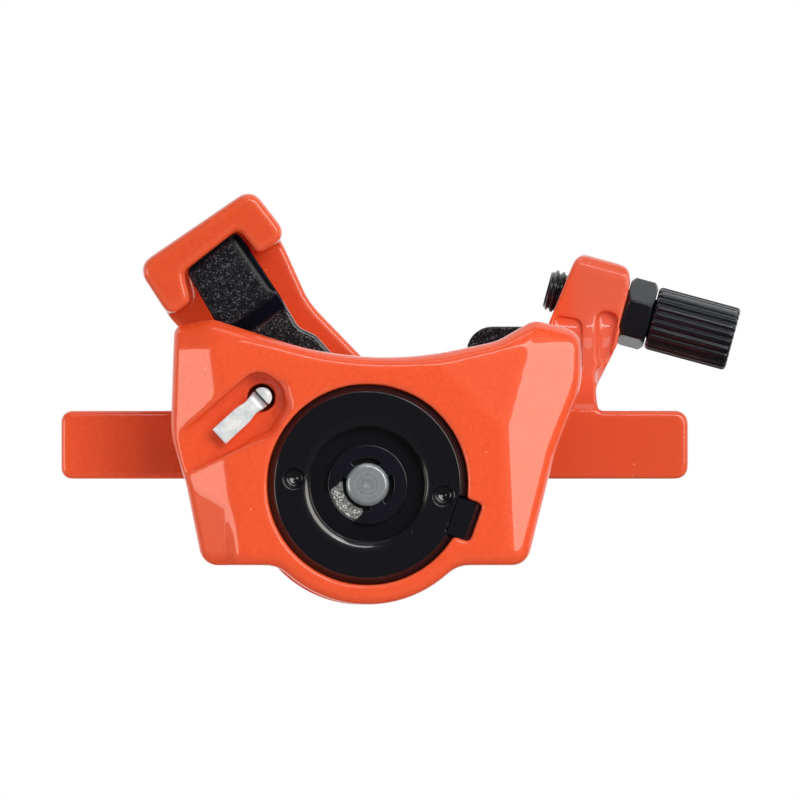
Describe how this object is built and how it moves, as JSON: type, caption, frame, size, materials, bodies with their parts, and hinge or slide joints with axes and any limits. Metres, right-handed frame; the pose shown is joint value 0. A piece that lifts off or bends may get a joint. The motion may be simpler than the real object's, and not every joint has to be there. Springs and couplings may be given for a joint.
{
  "type": "electric scooter brake caliper",
  "caption": "Cable-pulled disc brake caliper with two arms that press both pads, ears for bolts and a cable adjuster.",
  "frame": {"origin": "centre of the brake pads, in the middle plane of the rotor", "axes": "+X along the mounting ears towards the cable adjuster, +Y along the axle away from the wheel, +Z away from the axle"},
  "size_m": [0.1096, 0.0493, 0.0664],
  "materials": {
    "orange_enamel": "glossy",
    "black_enamel": "glossy",
    "black_powder": "textured",
    "black_oxide": "satin",
    "black_anodised": "satin",
    "sintered_iron": "porous",
    "zinc_steel": "satin",
    "ball_steel": "polished",
    "spring_steel": "satin",
    "friction_lining": "rough"
  },
  "bodies": {
    "housing": {"caliper_body": "orange_enamel", "near_cap": "black_enamel", "cap_lock_key": "black_enamel", "near_bush": "sintered_iron", "cotter_pin": "zinc_steel", "pad_spring": "spring_steel", "far_thrust_washer": "zinc_steel", "far_bush": "sintered_iron", "return_spring": "spring_steel"},
    "near_lever": {"near_arm": "black_powder", "near_spindle": "zinc_steel", "spindle_clip": "black_oxide"},
    "near_ball_set": {"near_balls": "ball_steel"},
    "inner_pad": {"near_piston": "zinc_steel", "inner_pad_plate": "black_powder", "inner_pad_lining": "friction_lining"},
    "outer_pad": {"far_piston": "zinc_steel", "outer_pad_plate": "black_powder", "outer_pad_lining": "friction_lining"},
    "far_ball_set": {"far_balls": "ball_steel"},
    "outer_lever": {"outer_arm": "orange_enamel", "far_spindle": "zinc_steel", "arm_washer": "zinc_steel", "arm_bolt": "zinc_steel", "anchor_plate": "zinc_steel", "anchor_bolt": "zinc_steel"},
    "barrel": {"adjuster_barrel": "black_anodised"},
    "knob": {"adjuster_knob": "black_anodised"},
    "lock_nut": {"adjuster_lock_nut": "black_anodised"}
  },
  "joints": [
    {"name": "outer_arm_turn", "type": "hinge", "parent": "housing", "child": "outer_lever", "pos_m": [0, 0, 0], "axis": [0, 1, 0], "range_deg": [0, 30], "stiffness_Nm_per_rad": 0.3, "springref_deg": -28.65, "deforming": ["return_spring"]},
    {"name": "near_arm_turn", "type": "hinge", "parent": "housing", "child": "near_lever", "pos_m": [0, 0, 0], "axis": [0, 1, 0], "range_deg": [0, 30]},
    {"name": "near_balls_roll", "type": "hinge", "parent": "housing", "child": "near_ball_set", "pos_m": [0, 0, 0], "axis": [0, 1, 0], "range_deg": [0, 15]},
    {"name": "far_balls_roll", "type": "hinge", "parent": "housing", "child": "far_ball_set", "pos_m": [0, 0, 0], "axis": [0, 1, 0], "range_deg": [0, 15]},
    {"name": "inner_pad_slide", "type": "slide", "parent": "housing", "child": "inner_pad", "axis": [0, 1, 0], "range_m": [0, 0.0012], "deforming": ["pad_spring"]},
    {"name": "outer_pad_slide", "type": "slide", "parent": "housing", "child": "outer_pad", "axis": [0, -1, 0], "range_m": [0, 0.0012]},
    {"name": "adjuster_turn", "type": "hinge", "parent": "barrel", "child": "knob", "pos_m": [0.04604, 0.0216, 0.02687], "axis": [0.9652, 0, -0.2613], "range_deg": [0, 1080]},
    {"name": "adjuster_travel", "type": "slide", "parent": "housing", "child": "barrel", "axis": [0.9652, 0, -0.2613], "range_m": [0, 0.003]},
    {"name": "lock_nut_turn", "type": "hinge", "parent": "housing", "child": "lock_nut", "pos_m": [0.04604, 0.0216, 0.02687], "axis": [0.9652, 0, -0.2613], "range_deg": [0, 120]}
  ],
  "couplings": [
    {"joint": "near_arm_turn", "follows": "outer_arm_turn", "ratio": 1},
    {"joint": "near_balls_roll", "follows": "outer_arm_turn", "ratio": 0.5},
    {"joint": "far_balls_roll", "follows": "outer_arm_turn", "ratio": 0.5},
    {"joint": "inner_pad_slide", "follows": "outer_arm_turn", "m_per_rad": 0.0022918},
    {"joint": "outer_pad_slide", "follows": "outer_arm_turn", "m_per_rad": 0.0022918},
    {"joint": "adjuster_turn", "follows": "adjuster_travel", "rad_per_m": 6283.2}
  ]
}
